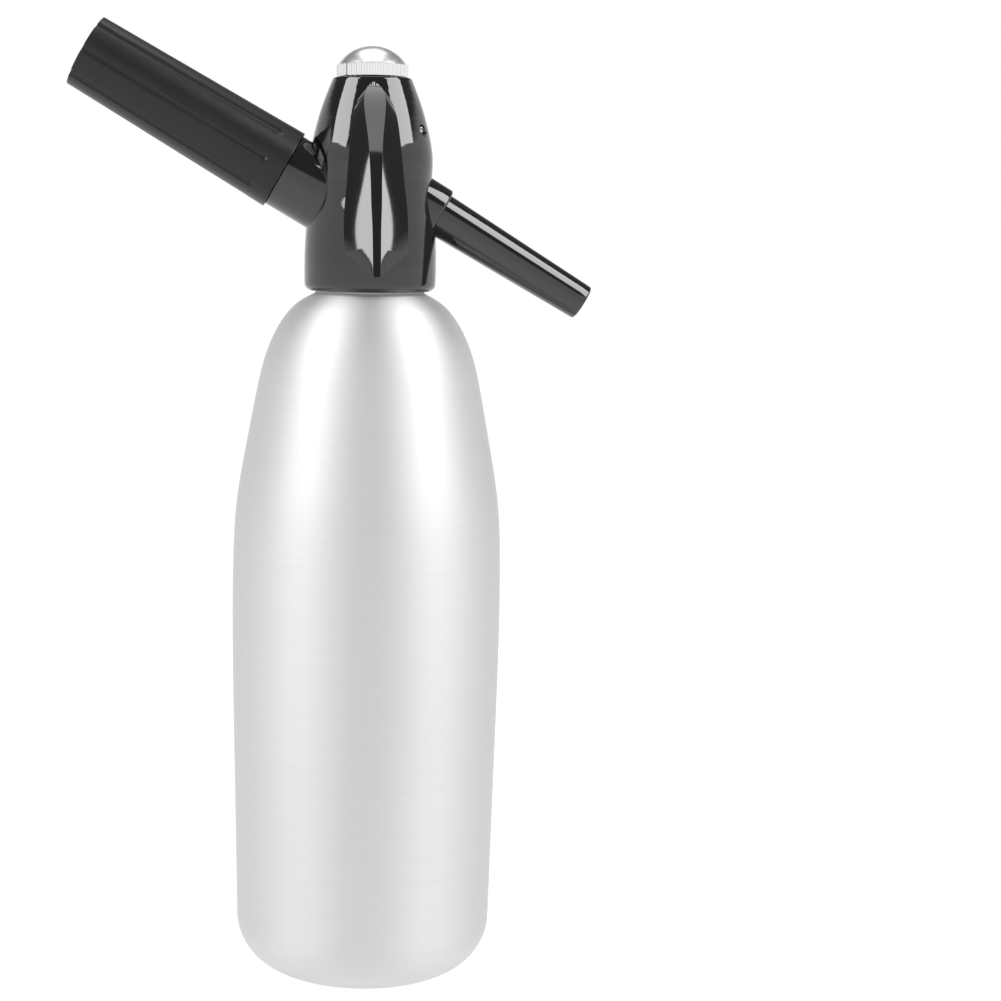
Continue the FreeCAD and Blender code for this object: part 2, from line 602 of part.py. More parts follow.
def make_charger_stub():
    stub = cylinder(STUB_BODY_RADIUS, STUB_START, BOSS_END)
    stub = stub.fuse(cylinder(STUB_THREAD_RADIUS, BOSS_END, STUB_END))
    stub = stub.cut(cylinder(VALVE_ROOM_RADIUS, STUB_START, VALVE_ROOM_END))
    stub = stub.cut(cylinder(GAS_HOLE, VALVE_ROOM_END, NEEDLE_DISC_START))
    stub = stub.cut(cylinder(NEEDLE_DISC_RADIUS + FIT, NEEDLE_DISC_START, CHARGER_START))
    neck_bore = CHARGER_NECK_RADIUS + NECK_ROOM
    shoulder = CHARGER_START + CHARGER_NECK_LENGTH
    stub = stub.cut(cylinder(neck_bore, CHARGER_START, shoulder))
    slope = (CHARGER_RADIUS - CHARGER_NECK_RADIUS) / CHARGER_SHOULDER
    mouth = neck_bore + 2 * NECK_ROOM + slope * (STUB_END - shoulder)
    return along_holder(stub.cut(cone(neck_bore + NECK_ROOM, mouth, shoulder - NECK_ROOM, STUB_END)))


def make_piercing_needle():
    disc = tube(NEEDLE_DISC_RADIUS, GAS_HOLE, NEEDLE_DISC_START, FILTER_START)
    needle = cylinder(NEEDLE_RADIUS, NEEDLE_DISC_START, NEEDLE_TIP - 2 * NEEDLE_RADIUS)
    tip = cone(NEEDLE_RADIUS, 0, NEEDLE_TIP - 2 * NEEDLE_RADIUS, NEEDLE_TIP)
    return along_holder(disc.fuse(needle).fuse(tip).removeSplitter())


def make_gas_filter():
    return along_holder(tube(NEEDLE_DISC_RADIUS, FILTER_HOLE, FILTER_START, SEAL_START))


def make_charger_seal():
    return along_holder(tube(NEEDLE_DISC_RADIUS, SEAL_HOLE, SEAL_START, CHARGER_START))


def make_check_ball():
    return along_holder(Part.makeSphere(BALL_RADIUS, FreeCAD.Vector(0, 0, VALVE_ROOM_END - BALL_RADIUS)))


def make_check_spring():
    ball_low = VALVE_ROOM_END - 2 * BALL_RADIUS
    return along_holder(tube(BALL_RADIUS, BALL_RADIUS - CHECK_WIRE, STUB_START, ball_low))


def make_gas_charger():
    neck_end = CHARGER_START + CHARGER_NECK_LENGTH
    shoulder_end = neck_end + CHARGER_SHOULDER
    centre = CHARGER_END - CHARGER_RADIUS
    bulb = cylinder(CHARGER_NECK_RADIUS, CHARGER_START, neck_end)
    bulb = bulb.fuse(cone(CHARGER_NECK_RADIUS, CHARGER_RADIUS, neck_end, shoulder_end))
    bulb = bulb.fuse(cylinder(CHARGER_RADIUS, shoulder_end, centre))
    bulb = bulb.fuse(Part.makeSphere(CHARGER_RADIUS, FreeCAD.Vector(0, 0, centre)))
    hole = cylinder(CHARGER_HOLE, CHARGER_START - 1, CHARGER_START + CHARGER_HOLE_DEPTH)
    return along_holder(bulb.cut(hole).removeSplitter())


def make_holder_sleeve():
    thread_end = SLEEVE_START + SLEEVE_THREAD_LENGTH
    sleeve = cylinder(SLEEVE_THREAD_BORE + SLEEVE_WALL, SLEEVE_START, thread_end)
    sleeve = sleeve.fuse(cylinder(SLEEVE_BORE + SLEEVE_WALL, thread_end, SLEEVE_END))
    sleeve = sleeve.cut(cylinder(SLEEVE_THREAD_BORE, SLEEVE_START, thread_end - SLEEVE_WALL))
    return along_holder(sleeve.cut(cylinder(SLEEVE_BORE, SLEEVE_START, SLEEVE_END - SLEEVE_WALL)))


def make_holder_grip():
    grip = cone(GRIP_OPEN_RADIUS, GRIP_CLOSED_RADIUS, GRIP_START, GRIP_END)
    back = [e for e in grip.Edges if abs(e.BoundBox.ZMin - GRIP_END) < 0.01 and e.Length > 1]
    grip = grip.makeFillet(GRIP_END_CHAMFER, back)
    flute_start = GRIP_START + FLUTE_STOP
    taper = math.degrees(math.atan((GRIP_OPEN_RADIUS - GRIP_CLOSED_RADIUS) / GRIP_LENGTH))
    for index in range(FLUTE_COUNT):
        flute = cylinder(FLUTE_RADIUS, flute_start + FLUTE_RADIUS, GRIP_END + 5)
        flute = flute.fuse(Part.makeSphere(FLUTE_RADIUS, FreeCAD.Vector(0, 0, flute_start + FLUTE_RADIUS)))
        flute.translate(FreeCAD.Vector(GRIP_OPEN_RADIUS - FLUTE_DEPTH + FLUTE_RADIUS, 0, 0))
        flute.rotate(FreeCAD.Vector(GRIP_OPEN_RADIUS, 0, GRIP_START), FreeCAD.Vector(0, 1, 0), -taper)
        flute.rotate(FreeCAD.Vector(0, 0, 0), UP, 360.0 * index / FLUTE_COUNT)
        grip = grip.cut(flute)
    thread_end = SLEEVE_START + SLEEVE_THREAD_LENGTH
    grip = grip.cut(cylinder(SLEEVE_THREAD_BORE + SLEEVE_WALL + FIT, GRIP_START, thread_end))
    return along_holder(grip.cut(cylinder(SLEEVE_BORE + SLEEVE_WALL + FIT, GRIP_START, SLEEVE_END)))


PIECES = {
    "bottle_shell": make_bottle_shell,
    "neck_gasket": make_neck_gasket,
    "head_shell": make_head_shell,
    "neck_nut": make_neck_nut,
    "valve_body": make_valve_body,
    "gland_ring": make_gland_ring,
    "spring_seat": make_spring_seat,
    "lever_pin": make_lever_pin,
    "lever": make_lever,
    "valve_stem": make_valve_stem,
    "stem_seal": make_stem_seal,
    "knurled_cap": make_knurled_cap,
    "cap_dome": make_cap_dome,
    "cap_seal": make_cap_seal,
    "spout_tube": make_spout_tube,
    "spout_collar": make_spout_collar,
    "spout_seal": make_spout_seal,
    "dip_tube": make_dip_tube,
    "dip_tube_seal": make_dip_tube_seal,
    "charger_stub": make_charger_stub,
    "piercing_needle": make_piercing_needle,
    "gas_filter": make_gas_filter,
    "charger_seal": make_charger_seal,
    "check_ball": make_check_ball,
    "check_spring": make_check_spring,
    "gas_charger": make_gas_charger,
    "holder_sleeve": make_holder_sleeve,
    "holder_grip": make_holder_grip,
}


def main():
    os.makedirs(PARTS_FOLDER, exist_ok=True)
    for name, make in PIECES.items():
        shape = make()
        print(name, "solids", len(shape.Solids), "volume", round(shape.Volume, 1), shape.isValid())
        shape.exportStep(os.path.join(PARTS_FOLDER, name + ".step"))
    spring = helix_spring(SPRING_RADIUS, SPRING_WIRE, SPRING_TURNS, COLLAR_TOP, SPRING_TOP)
    print("valve_spring solids", len(spring.Solids), "volume", round(spring.Volume, 1), spring.isValid())
    spring.exportStep(os.path.join(PARTS_FOLDER, "valve_spring.step"))


main()
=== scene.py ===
# %% [markdown]
# The siphon stands on a fixed frame: its imported parts, at their real size in
# metres. The first cell loads that frame and keeps its parts and its record.

# %% Load the frame
import json
import math
import bmesh
import bpy
import numpy as np
from mathutils import Matrix, Vector


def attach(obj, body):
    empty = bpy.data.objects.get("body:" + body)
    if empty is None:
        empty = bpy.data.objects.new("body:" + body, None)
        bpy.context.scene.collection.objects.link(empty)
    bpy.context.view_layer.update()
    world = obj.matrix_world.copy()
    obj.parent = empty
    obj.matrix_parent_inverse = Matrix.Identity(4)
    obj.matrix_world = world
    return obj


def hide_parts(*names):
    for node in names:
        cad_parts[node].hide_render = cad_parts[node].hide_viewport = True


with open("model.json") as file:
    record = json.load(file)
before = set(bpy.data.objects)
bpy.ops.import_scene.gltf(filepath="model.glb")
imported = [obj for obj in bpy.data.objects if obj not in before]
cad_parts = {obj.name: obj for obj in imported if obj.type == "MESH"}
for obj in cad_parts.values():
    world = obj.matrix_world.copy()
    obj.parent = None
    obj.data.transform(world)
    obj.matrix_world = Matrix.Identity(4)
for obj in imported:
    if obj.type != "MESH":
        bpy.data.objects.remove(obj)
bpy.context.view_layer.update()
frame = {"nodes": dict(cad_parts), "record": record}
MM = 0.001

# %% [markdown]
# Sizes are written in millimetres, as on a drawing, and turned into metres in the
# mesh helpers. Each group belongs to one piece of the siphon.

# %% Sizes of the bottle and head
BASE_CORNER = 18.0
BASE_RADIUS = 44.7
BELLY_RADIUS = 46.6
BELLY_HEIGHT = 142.0
BELLY_SWELL = 0.35
SHOULDER = [
    (45.2, 167.0), (42.4, 184.0), (39.2, 201.0), (35.2, 217.5),
    (29.3, 229.2), (24.6, 234.2), (19.4, 237.2),
]
BOTTLE_WALL = 1.2
NECK_RADIUS = 17.6
NECK_BORE = 14.6
NECK_TOP = 259.5
BEAD_RADIUS = 18.7
BEAD_TOP = 241.0
BEAD_FILLET = 0.7
HEAD_BOTTOM = 238.2
HEAD_TOP = 310.0
HEAD_HALF_WIDTHS = [
    (22.45, 22.3), (22.6, 22.35), (22.3, 22.05), (21.55, 20.9), (20.7, 19.2),
    (20.9, 19.65), (19.4, 17.8), (16.8, 15.2), (13.3, 12.3),
]
HEAD_RIM_ROUND = 2.6
HEAD_WALL = 2.2
HEAD_TOP_EDGE = 0.5
HEAD_TOP_CHAMFER = 0.15
SLOT_HALF = 4.25
SLOT_LOW = 284.5
SLOT_HIGH = 303.0
CAP_HOLE = 8.9
PIN_Y = -8.3
PIN_Z = 292.3
PIN_SHOWN_END = 16.6
PIN_RECESS_RADIUS = 2.0
PIN_RECESS_DEPTH = 0.9

# %% [markdown]
# A smooth outline on a turned part passes through a few known points. A natural
# cubic spline does that: it bends as little as it can between them. The helper
# below works for any number of columns, so it also carries the lever's sections.

# %% Spline through points
def smooth(points, count):
    """count rows along a natural cubic spline through the given rows."""
    rows = np.array(points, float)
    gaps = np.maximum(np.linalg.norm(np.diff(rows[:, :2], axis=0), axis=1), 1e-6)
    knots = np.concatenate([[0.0], np.cumsum(gaps)])
    size = len(rows)
    system = np.eye(size)
    target = np.zeros_like(rows)
    for i in range(1, size - 1):
        system[i, i - 1] = gaps[i - 1]
        system[i, i] = 2 * (gaps[i - 1] + gaps[i])
        system[i, i + 1] = gaps[i]
        target[i] = 6 * ((rows[i + 1] - rows[i]) / gaps[i] - (rows[i] - rows[i - 1]) / gaps[i - 1])
    bend = np.linalg.solve(system, target)
    made = []
    for place in np.linspace(0.0, knots[-1], count):
        i = min(int(np.searchsorted(knots, place, side="right")) - 1, size - 2)
        a = (knots[i + 1] - place) / gaps[i]
        b = (place - knots[i]) / gaps[i]
        curve = ((a ** 3 - a) * bend[i] + (b ** 3 - b) * bend[i + 1]) * gaps[i] ** 2 / 6
        made.append(a * rows[i] + b * rows[i + 1] + curve)
    return made


def arc(centre, radius, start, end, count):
    """Points on an arc in the (radius, height) plane, angles in degrees from +r."""
    angles = np.radians(np.linspace(start, end, count))
    return [(centre[0] + radius * math.cos(a), centre[1] + radius * math.sin(a)) for a in angles]

# %% [markdown]
# Most of the siphon is turned, so one helper spins an outline around +Z. A point
# on the axis becomes a single vertex, which keeps the pole closed. Another
# helper finishes every piece alike: smooth faces, sharp edges where the surface
# really turns, a material, and a body of the frame to ride on.

# %% Mesh helpers
def to_object(name, vertices, faces):
    mesh = bpy.data.meshes.new(name)
    mesh.from_pydata([tuple(c * MM for c in v) for v in vertices], [], faces)
    mesh.update()
    piece = bpy.data.objects.new(name, mesh)
    bpy.context.scene.collection.objects.link(piece)
    return piece


def lathe(name, outline, segments=128, closed=False):
    """Spin (radius, height) points in millimetres around +Z."""
    vertices, rings, faces = [], [], []
    for radius, height in outline:
        if radius < 1e-6:
            rings.append([len(vertices)] * segments)
            vertices.append((0.0, 0.0, height))
            continue
        first = len(vertices)
        for k in range(segments):
            angle = 2 * math.pi * k / segments
            vertices.append((radius * math.cos(angle), radius * math.sin(angle), height))
        rings.append(list(range(first, first + segments)))
    pairs = list(zip(rings, rings[1:]))
    if closed:
        pairs.append((rings[-1], rings[0]))
    for low, high in pairs:
        for k in range(segments):
            n = (k + 1) % segments
            corners = []
            for index in (low[k], low[n], high[n], high[k]):
                if index not in corners:
                    corners.append(index)
            if len(corners) > 2:
                faces.append(corners)
    return to_object(name, vertices, faces)


def face_outwards(piece):
    work = bmesh.new()
    work.from_mesh(piece.data)
    bmesh.ops.remove_doubles(work, verts=work.verts, dist=1e-6)
    bmesh.ops.recalc_face_normals(work, faces=work.faces)
    work.to_mesh(piece.data)
    work.free()


def settle(piece):
    """Apply a piece's modifiers, so that what is left is a plain mesh."""
    seen = piece.evaluated_get(bpy.context.evaluated_depsgraph_get())
    mesh = bpy.data.meshes.new_from_object(seen)
    piece.modifiers.clear()
    piece.data = mesh


def place(piece, matrix):
    piece.data.transform(matrix)
    piece.data.update()


def dress(piece, body, material, nodes=(), sharp=32.0):
    for polygon in piece.data.polygons:
        polygon.use_smooth = True
    piece.data.set_sharp_from_angle(angle=math.radians(sharp))
    piece.data.materials.clear()
    piece.data.materials.append(material)
    if nodes:
        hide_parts(*nodes)
    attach(piece, body)
    print(piece.name, len(piece.data.polygons), "faces")


def cut_with(piece, cutter, operation="DIFFERENCE"):
    step = piece.modifiers.new("cut", "BOOLEAN")
    step.operation = operation
    step.solver = "EXACT"
    step.object = cutter
    settle(piece)
    bpy.data.objects.remove(cutter)


def bevel(piece, width, angle=28.0, segments=3):
    step = piece.modifiers.new("edge", "BEVEL")
    step.width = width * MM
    step.segments = segments
    step.limit_method = "ANGLE"
    step.angle_limit = math.radians(angle)
    settle(piece)

# %% [markdown]
# Shader and geometry maths reads best as ordinary expressions. The class below
# wraps a node socket, and adding or multiplying two of them adds the Math node.
# It serves both kinds of node tree.

# %% Sockets that can be added and multiplied
class Value:
    def __init__(self, tree, socket):
        self.tree = tree
        self.socket = socket

    def math(self, operation, *others, clamp=False):
        node = self.tree.nodes.new("ShaderNodeMath")
        node.operation = operation
        node.use_clamp = clamp
        for entry, item in zip(node.inputs, (self,) + others):
            if isinstance(item, Value):
                self.tree.links.new(item.socket, entry)
            else:
                entry.default_value = item
        return Value(self.tree, node.outputs[0])

    def flipped(self, operation, first):
        held = self.tree.nodes.new("ShaderNodeValue")
        held.outputs[0].default_value = first
        return Value(self.tree, held.outputs[0]).math(operation, self)

    def __add__(self, other):
        return self.math("ADD", other)

    def __radd__(self, other):
        return self.math("ADD", other)

    def __sub__(self, other):
        return self.math("SUBTRACT", other)

    def __rsub__(self, other):
        return self.flipped("SUBTRACT", other)

    def __mul__(self, other):
        return self.math("MULTIPLY", other)

    def __rmul__(self, other):
        return self.math("MULTIPLY", other)

    def __truediv__(self, other):
        return self.math("DIVIDE", other)

class Nodes:
    """A node tree with one way to add any node: its type, settings and inputs."""

    def __init__(self, tree):
        self.tree = tree

    def add(self, kind, settings=None, **inputs):
        node = self.tree.nodes.new(kind)
        for key, value in (settings or {}).items():
            setattr(node, key, value)
        for key, value in inputs.items():
            entry = node.inputs[key.replace("_", " ")]
            if isinstance(value, Value):
                self.tree.links.new(value.socket, entry)
            elif value is not None:
                entry.default_value = value
        return node

    def value(self, node, name=0):
        return Value(self.tree, node.outputs[name])

# %% [markdown]
# Every finish starts from the same base: a Principled shader whose even numbers
# are set on its own sockets, and object coordinates for what varies.

# %% Start a material
def start_material(name, color, metallic, roughness, **even):
    material = bpy.data.materials.new(name)
    material.use_nodes = True
    tree = material.node_tree
    shader = tree.nodes["Principled BSDF"]
    shader.inputs["Base Color"].default_value = (*color, 1.0)
    shader.inputs["Metallic"].default_value = metallic
    shader.inputs["Roughness"].default_value = roughness
    for key, value in even.items():
        shader.inputs[key.replace("_", " ")].default_value = value
    kit = Nodes(tree)
    place_node = kit.add("ShaderNodeTexCoord")
    parts = kit.add("ShaderNodeSeparateXYZ", Vector=kit.value(place_node, "Object"))
    axes = [kit.value(parts, axis) for axis in ("X", "Y", "Z")]
    return material, kit, shader, axes


def noise(kit, vector, scale, detail=2.0, roughness=0.5):
    node = kit.add("ShaderNodeTexNoise", Vector=vector, Scale=scale, Detail=detail, Roughness=roughness)
    return kit.value(node, 0)


def combine(kit, x, y, z):
    return kit.value(kit.add("ShaderNodeCombineXYZ", X=x, Y=y, Z=z))


def connect(kit, value, shader, name):
    kit.tree.links.new(value.socket, shader.inputs[name])


def bump(kit, shader, height, strength, distance):
    node = kit.add("ShaderNodeBump", Height=height, Strength=strength, Distance=distance)
    kit.tree.links.new(node.outputs[0], shader.inputs["Normal"])


def tint(kit, share, dark, light):
    node = kit.add("ShaderNodeMix", {"data_type": "RGBA"})
    kit.tree.links.new(share.socket, node.inputs[0])
    node.inputs[6].default_value = (*dark, 1.0)
    node.inputs[7].default_value = (*light, 1.0)
    return Value(kit.tree, node.outputs[2])

# %% [markdown]
# The bottle is aluminium brushed while it turned, so its scratches are rings: they
# vary quickly with height and hardly at all around. Stretching a noise along X
# and Y and squeezing it along Z makes such rings. They steer the roughness and a
# very shallow bump, with a slower change of tone on top.

# %% Brushed aluminium
RINGS_AROUND = 14.0
RINGS_UP = 5200.0
BANDS_AROUND = 6.0
BANDS_UP = 420.0
CLOUDS = 9.0


def brushed_aluminium(name="brushed_aluminium", tone=0.745):
    material, kit, shader, (x, y, z) = start_material(
        name, (tone, tone, tone), 1.0, 0.6, Anisotropic=0.6, Anisotropic_Rotation=0.25
    )
    rings = noise(kit, combine(kit, x * RINGS_AROUND, y * RINGS_AROUND, z * RINGS_UP), 1.0, 3.0, 0.6)
    broad = noise(kit, combine(kit, x * BANDS_AROUND, y * BANDS_AROUND, z * BANDS_UP), 1.0, 2.0)
    cloud = noise(kit, combine(kit, x * CLOUDS, y * CLOUDS, z * CLOUDS), 1.0, 1.0)
    connect(kit, rings * 0.12 + broad * 0.03 + 0.55, shader, "Roughness")
    streak = rings * 0.6 + broad * 0.15 + cloud * 0.25
    dark = (tone * 0.86, tone * 0.865, tone * 0.87)
    light = (min(1.0, tone * 1.1),) * 3
    connect(kit, tint(kit, streak, dark, light), shader, "Base Color")
    bump(kit, shader, rings, 0.16, 0.00004)
    return material

# %% [markdown]
# The head, lever and spout are polished black plastic. Real mouldings are never
# optically flat: a slow ripple bends the reflections a little, and faint dust and
# handling marks show as a change of roughness. A hairline stands where the two
# halves of the mould met, on the spout's side of the head.

# %% Gloss black
SEAM_SHARPNESS = 9000.0


def gloss_black(name="black_gloss_plastic", seam=False):
    material, kit, shader, (x, y, z) = start_material(
        name, (0.004, 0.004, 0.004), 0.0, 0.05, IOR=1.72
    )
    spot = combine(kit, x, y, z)
    ripple = noise(kit, spot, 55.0, 1.0)
    grain = noise(kit, spot, 900.0, 2.0)
    smear = noise(kit, spot, 30.0, 3.0, 0.6)
    connect(kit, smear * 0.05 + grain * 0.02 + 0.03, shader, "Roughness")
    connect(kit, tint(kit, smear, (0.003, 0.003, 0.003), (0.006, 0.006, 0.006)), shader, "Base Color")
    height = ripple * 0.6 + grain * 0.02
    if seam:
        line = (y.math("ABSOLUTE") * SEAM_SHARPNESS).math("MINIMUM", 1.0)
        side = x.math("GREATER_THAN", 0.0)
        height = height - (1.0 - line) * side * 0.9
    bump(kit, shader, height, 0.10, 0.00035)
    return material

# %% [markdown]
# The charger holder is moulded with a fine matt texture, so that wet hands can
# turn it. Its roughness and tone also change a little in slow patches.

# %% Satin black
def satin_black(name="black_satin_plastic"):
    material, kit, shader, (x, y, z) = start_material(
        name, (0.010, 0.010, 0.010), 0.0, 0.36, IOR=1.42
    )
    spot = combine(kit, x, y, z)
    grain = noise(kit, spot, 2600.0, 2.0, 0.6)
    cloud = noise(kit, spot, 60.0, 2.0)
    connect(kit, cloud * 0.10 + grain * 0.08 + 0.27, shader, "Roughness")
    connect(kit, tint(kit, cloud, (0.007, 0.007, 0.007), (0.012, 0.012, 0.0125)), shader, "Base Color")
    bump(kit, shader, grain, 0.22, 0.00006)
    return material

# %% [markdown]
# Chrome is almost a mirror. Only faint polishing marks and a slow ripple keep it
# from looking like a computer's mirror ball. The dome, which hands wipe, is a
# little duller than the ring. Turned metals inside the siphon use the same recipe
# with more roughness and their own colour.

# %% Chrome, turned metals, rubber and plain mouldings
def polished_metal(name, color, roughness, marks):
    material, kit, shader, (x, y, z) = start_material(name, color, 1.0, roughness)
    swirl = noise(kit, combine(kit, x, y, z * 3.0), 700.0, 3.0)
    slow = noise(kit, combine(kit, x, y, z), 90.0, 1.0)
    connect(kit, swirl * marks + roughness, shader, "Roughness")
    low = tuple(c * 0.93 for c in color)
    connect(kit, tint(kit, slow, low, color), shader, "Base Color")
    bump(kit, shader, slow * 0.5 + swirl * 0.05, 0.08, 0.0001)
    return material


def moulded(name, color, roughness, grain_scale):
    material, kit, shader, (x, y, z) = start_material(name, color, 0.0, roughness)
    spot = combine(kit, x, y, z)
    grain = noise(kit, spot, grain_scale, 3.0)
    slow = noise(kit, spot, 80.0, 2.0)
    connect(kit, grain * 0.15 + (roughness - 0.07), shader, "Roughness")
    low = tuple(c * 0.85 for c in color)
    connect(kit, tint(kit, slow, low, color), shader, "Base Color")
    bump(kit, shader, grain, 0.2, 0.00008)
    return material


ALUMINIUM = brushed_aluminium()
BLACK_GLOSS = gloss_black()
BLACK_HEAD = gloss_black("black_gloss_head", seam=True)
BLACK_SATIN = satin_black()
CHROME = polished_metal("chrome_plate", (0.90, 0.905, 0.91), 0.05, 0.04)
DOME_CHROME = polished_metal("chrome_dome", (0.94, 0.945, 0.95), 0.30, 0.04)
STEEL = polished_metal("turned_steel", (0.70, 0.71, 0.72), 0.22, 0.10)
BRASS = polished_metal("turned_brass", (0.78, 0.60, 0.30), 0.24, 0.10)
RUBBER = moulded("seal_rubber", (0.03, 0.03, 0.03), 0.75, 1800.0)
ACETAL = moulded("grey_acetal", (0.50, 0.51, 0.52), 0.45, 1500.0)
NATURAL_TUBE = moulded("natural_tube", (0.80, 0.81, 0.80), 0.30, 1200.0)

# %% [markdown]
# The bottle is pressed from one sheet and necked in at the top. Its outline is a
# flat foot, a round corner, a side that swells very slightly and the shoulder.
# The inside is the same outline, moved in by the wall.

# %% The bottle
def bottle_outline(wall):
    radius = BASE_CORNER - wall
    corner = arc((BASE_RADIUS - BASE_CORNER, BASE_CORNER), radius, -90, 0, 20)
    middle = (BASE_RADIUS + BELLY_RADIUS) / 2 + BELLY_SWELL - wall
    side = [(BASE_RADIUS - wall, BASE_CORNER), (middle, (BASE_CORNER + BELLY_HEIGHT) / 2)]
    side.append((BELLY_RADIUS - wall, BELLY_HEIGHT))
    side += [(r - wall, z - 0.4 * wall) for r, z in SHOULDER]
    side[-1] = (SHOULDER[-1][0] - wall, SHOULDER[-1][1] - wall)
    return corner + [tuple(p) for p in smooth(side, 110)][1:]


def make_bottle():
    outline = [(0.0, 0.0)] + bottle_outline(0.0)
    outline += arc((BEAD_RADIUS + BEAD_FILLET, SHOULDER[-1][1] + 0.75), BEAD_FILLET, 270, 180, 5)
    outline += [(BEAD_RADIUS, BEAD_TOP), (NECK_RADIUS, BEAD_TOP)]
    outline += [(NECK_RADIUS, NECK_TOP), (NECK_BORE, NECK_TOP)]
    inner = bottle_outline(BOTTLE_WALL)
    outline += [(NECK_BORE, inner[-1][1])] + inner[::-1] + [(0.0, inner[0][1])]
    bottle = lathe("bottle", outline, 192)
    face_outwards(bottle)
    return bottle


dress(make_bottle(), "bottle", ALUMINIUM, ["bottle_shell"])

# %% [markdown]
# The head casing isn't quite round: it is a little wider across the spout than
# towards the lever, and it has a waist. A grid follows that form: rows go up,
# and columns go round, bunched so that two of them run exactly along the edges
# of the lever's slot. Leaving out the cells between them opens the slot, and a
# Solidify modifier then gives every edge its wall.

# %% The head casing
HEAD_STEPS = 720
HEAD_TABLE = smooth([(0.0, i * 1.0, x, y) for i, (x, y) in enumerate(HEAD_HALF_WIDTHS)], HEAD_STEPS + 1)
SLOT_CELLS = 12
ROUND_CELLS = 180
RIM_ROWS = 9
LOWER_ROWS = 56
SLOT_ROWS = 26
UPPER_ROWS = 10


def head_half_widths(height):
    share = (height - HEAD_BOTTOM) / (HEAD_TOP - HEAD_BOTTOM)
    row = HEAD_TABLE[int(round(min(1.0, max(0.0, share)) * HEAD_STEPS))]
    inset = 0.0
    above = height - HEAD_BOTTOM
    if above < HEAD_RIM_ROUND:
        inset = HEAD_RIM_ROUND - math.sqrt(HEAD_RIM_ROUND ** 2 - (HEAD_RIM_ROUND - above) ** 2)
    return row[2] - inset, row[3] - inset


def head_columns(half_x):
    """Angles round the head, with the slot's two edges among them."""
    edge = math.asin(SLOT_HALF / half_x)
    front = -math.pi / 2
    across = list(np.linspace(front - edge, front + edge, SLOT_CELLS + 1))[:-1]
    around = list(np.linspace(front + edge, front + 2 * math.pi - edge, ROUND_CELLS + 1))[:-1]
    return across + around


def head_heights():
    rim = np.linspace(0.0, math.pi / 2, RIM_ROWS)
    heights = [HEAD_BOTTOM + HEAD_RIM_ROUND * (1 - math.cos(a)) for a in rim]
    heights += list(np.linspace(HEAD_BOTTOM + HEAD_RIM_ROUND, SLOT_LOW, LOWER_ROWS))[1:]
    heights += list(np.linspace(SLOT_LOW, SLOT_HIGH, SLOT_ROWS))[1:]
    return heights + list(np.linspace(SLOT_HIGH, HEAD_TOP - HEAD_TOP_EDGE, UPPER_ROWS))[1:]


def head_ring(half_x, half_y, height, columns):
    return [(half_x * math.cos(a), half_y * math.sin(a), height) for a in columns]


def make_head_casing():
    heights = head_heights()
    rows = []
    for height in heights:
        half_x, half_y = head_half_widths(height)
        rows.append(head_ring(half_x, half_y, height, head_columns(half_x)))
    top_x, top_y = head_half_widths(HEAD_TOP)
    chamfer = (HEAD_TOP_CHAMFER, HEAD_TOP_CHAMFER)
    for inset, drop in (chamfer, (HEAD_TOP_EDGE, 0.0), (top_x - CAP_HOLE, 0.0)):
        half_y = max(CAP_HOLE, top_y - inset)
        rows.append(head_ring(top_x - inset, half_y, HEAD_TOP - drop, head_columns(top_x)))
    count = len(rows[0])
    vertices = [point for row in rows for point in row]
    faces = []
    for i in range(len(rows) - 1):
        in_slot = i < len(heights) - 1 and SLOT_LOW - 0.01 < heights[i] and heights[i + 1] < SLOT_HIGH + 0.01
        for k in range(count):
            if in_slot and k < SLOT_CELLS:
                continue
            n = (k + 1) % count
            faces.append((i * count + k, i * count + n, (i + 1) * count + n, (i + 1) * count + k))
    casing = to_object("head_casing", vertices, faces)
    face_outwards(casing)
    wall = casing.modifiers.new("wall", "SOLIDIFY")
    wall.thickness = HEAD_WALL * MM
    wall.offset = -1.0
    wall.use_even_offset = True
    settle(casing)
    return casing


def rod_along_x(name, radius, start, end, segments=48):
    rod = lathe(name, [(0.0, start), (radius, start), (radius, end), (0.0, end)], segments)
    place(rod, Matrix.Translation((0, PIN_Y * MM, PIN_Z * MM)) @ Matrix.Rotation(math.pi / 2, 4, "Y"))
    face_outwards(rod)
    return rod


head = make_head_casing()
cut_with(head, rod_along_x("recess", PIN_RECESS_RADIUS, PIN_SHOWN_END - PIN_RECESS_DEPTH, 30.0))

# %% [markdown]
# The boss that carries the charger holder leans up at its own angle, and the spout
# leans down at another. Both are turned around +Z first and then laid on their
# axes, exactly as their parts lie in the frame.

# %% Boss, spout and collar
def laid_on(axis_height, angle):
    """The turn that lays a piece spun around +Z on an axis through the head."""
    return Matrix.Translation((0, 0, axis_height * MM)) @ Matrix.Rotation(math.radians(angle), 4, "Y")


HOLDER_ANGLE = 30.1
HOLDER_AXIS_Z = 261.7
SPOUT_ANGLE = 30.8
SPOUT_AXIS_Z = 278.6
HOLDER_TURN = laid_on(HOLDER_AXIS_Z, HOLDER_ANGLE - 90)
SPOUT_TURN = laid_on(SPOUT_AXIS_Z, 90 + SPOUT_ANGLE)
BOSS_RADIUS = 13.0
BOSS_BORE = 10.55
BOSS_START = 16.5
BOSS_END = 34.25
BOSS_EDGE = 0.4
SPOUT_START = 17.0
SPOUT_END = 85.3
SPOUT_ROOT_RADIUS = 7.7
SPOUT_END_RADIUS = 6.15
SPOUT_BORE = 3.3
SPOUT_LIP = 0.7
SPOUT_BORE_EDGE = 0.35
COLLAR_START = 18.5
COLLAR_END = 27.6
COLLAR_RADIUS = 9.1
COLLAR_ROUND = 1.0
COLLAR_BORE = SPOUT_ROOT_RADIUS - 0.5


